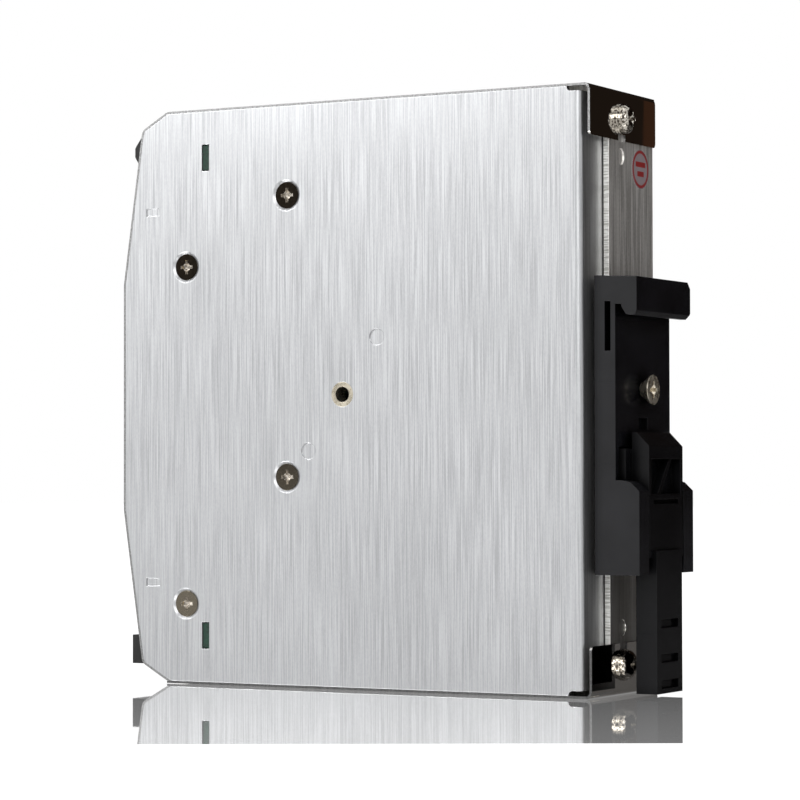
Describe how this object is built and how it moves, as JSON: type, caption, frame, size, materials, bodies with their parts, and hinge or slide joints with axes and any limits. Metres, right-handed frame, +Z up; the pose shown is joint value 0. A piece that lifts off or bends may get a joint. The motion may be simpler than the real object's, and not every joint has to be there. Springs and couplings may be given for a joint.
{
  "type": "DIN rail power supply",
  "caption": "Slim metal-cased power supply with screw terminals on its front and a spring-latched clip for 35 mm rail on its rear.",
  "frame": {"origin": "middle of the bounding box at the bottom plate, on which the part stands", "axes": "+X across the case towards the removable cover, +Y from the front to the rail, +Z up"},
  "size_m": [0.033, 0.1242, 0.1252],
  "materials": {
    "brushed_aluminium": "vertically brushed, satin",
    "bright_steel": "bright plated, mirror smooth",
    "nickel_screws": "nickel plated",
    "clip_plastic": "black, fine satin",
    "black_moulding": "black, satin",
    "clamp_metal": "zinc plated",
    "spring_steel": "bright wire",
    "green_board": "solder mask",
    "clear_film": "thin amber film",
    "brass_posts": "turned",
    "plain_aluminium": "mill finish",
    "grey_pad": "soft silicone",
    "epoxy_black": "moulded epoxy",
    "capacitor_sleeve": "shrunk sleeve",
    "copper_windings": "enamelled wire",
    "ferrite": "ground ferrite",
    "winding_tape": "wound tape",
    "fuse_glass": "glazed",
    "film_case": "moulded box",
    "trimmer_blue": "moulded",
    "shaft_white": "moulded",
    "lamp_green": "tinted",
    "clear_pipe": "clear rod",
    "sticker_red": "printed"
  },
  "bodies": {
    "case": {"side_cover": "brushed_aluminium", "chassis": "brushed_aluminium", "wrap_cover": "bright_steel", "bottom_plate": "bright_steel", "cover_screws": "nickel_screws", "flange_screws": "nickel_screws", "clip_screw": "nickel_screws", "board_screws": "nickel_screws", "device_screws": "nickel_screws", "threaded_insert": "nickel_screws", "clip_base": "clip_plastic", "output_terminal": "black_moulding", "input_terminal": "black_moulding", "output_cages": "clamp_metal", "input_cages": "clamp_metal", "latch_spring": "spring_steel", "terminal_board": "green_board", "main_board": "green_board", "insulation_film": "clear_film", "standoffs": "brass_posts", "cover_posts": "brass_posts", "heatsink": "plain_aluminium", "thermal_pad": "grey_pad", "switch_transistor": "epoxy_black", "output_rectifier": "epoxy_black", "bridge_rectifier": "epoxy_black", "controller_chip": "epoxy_black", "optocoupler": "epoxy_black", "bulk_capacitor": "capacitor_sleeve", "output_capacitors": "capacitor_sleeve", "line_choke": "copper_windings", "output_inductor": "copper_windings", "transformer_core": "ferrite", "transformer_winding": "winding_tape", "fuse": "fuse_glass", "film_capacitor": "film_case", "voltage_trimmer": "trimmer_blue", "status_lamp": "lamp_green", "light_pipe": "clear_pipe", "check_sticker": "sticker_red"},
    "latch": {"clip_latch": "clip_plastic"},
    "trimmer": {"trimmer_shaft": "shaft_white"},
    "output_clamp_1": {"output_screw_1": "clamp_metal"},
    "output_clamp_2": {"output_screw_2": "clamp_metal"},
    "output_clamp_3": {"output_screw_3": "clamp_metal"},
    "output_clamp_4": {"output_screw_4": "clamp_metal"},
    "input_clamp_1": {"input_screw_1": "clamp_metal"},
    "input_clamp_2": {"input_screw_2": "clamp_metal"},
    "input_clamp_3": {"input_screw_3": "clamp_metal"}
  },
  "joints": [
    {"name": "latch_slide", "type": "slide", "parent": "case", "child": "latch", "axis": [0, 0, -1], "range_m": [0, 0.009], "stiffness_N_per_m": 600, "springref_m": -0.003, "deforming": ["latch_spring"]},
    {"name": "trimmer_turn", "type": "hinge", "parent": "case", "child": "trimmer", "pos_m": [0, -0.0614, 0.078], "axis": [0, -1, 0], "range_deg": [-135, 135]},
    {"name": "output_clamp_turn_1", "type": "hinge", "parent": "case", "child": "output_clamp_1", "pos_m": [-0.009, -0.0581, 0.11715], "axis": [0, -1, 0], "continuous": true},
    {"name": "output_clamp_turn_2", "type": "hinge", "parent": "case", "child": "output_clamp_2", "pos_m": [-0.003, -0.0581, 0.11715], "axis": [0, -1, 0], "continuous": true},
    {"name": "output_clamp_turn_3", "type": "hinge", "parent": "case", "child": "output_clamp_3", "pos_m": [0.003, -0.0581, 0.11715], "axis": [0, -1, 0], "continuous": true},
    {"name": "output_clamp_turn_4", "type": "hinge", "parent": "case", "child": "output_clamp_4", "pos_m": [0.009, -0.0581, 0.11715], "axis": [0, -1, 0], "continuous": true},
    {"name": "input_clamp_turn_1", "type": "hinge", "parent": "case", "child": "input_clamp_1", "pos_m": [-0.008, -0.0581, 0.00695], "axis": [0, -1, 0], "continuous": true},
    {"name": "input_clamp_turn_2", "type": "hinge", "parent": "case", "child": "input_clamp_2", "pos_m": [0, -0.0581, 0.00695], "axis": [0, -1, 0], "continuous": true},
    {"name": "input_clamp_turn_3", "type": "hinge", "parent": "case", "child": "input_clamp_3", "pos_m": [0.008, -0.0581, 0.00695], "axis": [0, -1, 0], "continuous": true}
  ]
}
